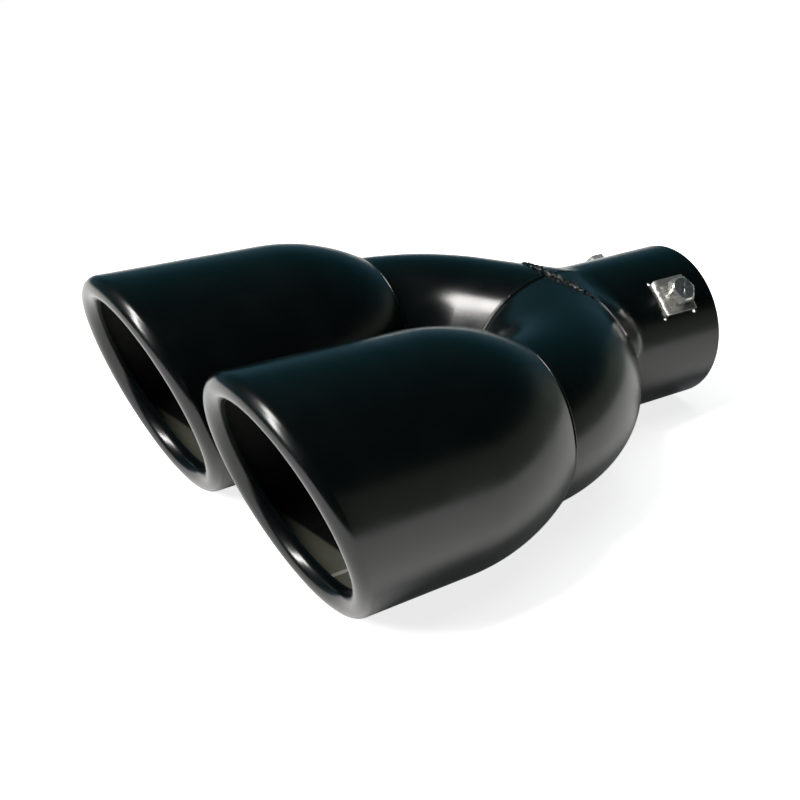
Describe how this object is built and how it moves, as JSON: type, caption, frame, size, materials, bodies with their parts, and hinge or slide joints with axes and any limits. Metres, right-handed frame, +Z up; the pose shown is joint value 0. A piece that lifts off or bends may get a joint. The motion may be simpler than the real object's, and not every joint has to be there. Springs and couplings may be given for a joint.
{
  "type": "exhaust tip",
  "caption": "Twin-outlet exhaust tip in satin black: slash-cut rolled-lip tips on bent tubes, welded to a round clamp-on inlet collar with clamp screws.",
  "frame": {"origin": "centre of the inlet collar's mouth", "axes": "+Y along the collar's axis, out of the inlet towards the car; the two outlets face -Y; +Z up; the right-hand tip lies at +X"},
  "size_m": [0.192, 0.2325, 0.09],
  "materials": {
    "black_paint": "satin",
    "weld_paint": "satin, rougher",
    "stainless": "stamped stainless sheet",
    "zinc": "dull zinc"
  },
  "bodies": {
    "tip": {"inlet_collar": "black_paint", "branch_right": "black_paint", "branch_left": "black_paint", "tip_right": "black_paint", "tip_left": "black_paint", "collar_weld": "weld_paint", "mitre_weld": "weld_paint", "neck_weld_right": "weld_paint", "neck_weld_left": "weld_paint", "clip_upper": "stainless", "clip_side": "stainless"},
    "screw_upper": {"screw_upper": "zinc"},
    "screw_side": {"screw_side": "zinc"}
  },
  "joints": [
    {"name": "screw_upper_travel", "type": "slide", "parent": "tip", "child": "screw_upper", "axis": [0.7193, 0, 0.6947], "range_m": [-0.0017, 0.0017]},
    {"name": "screw_side_travel", "type": "slide", "parent": "tip", "child": "screw_side", "axis": [-0.8988, 0, 0.4384], "range_m": [-0.0017, 0.0017]}
  ]
}
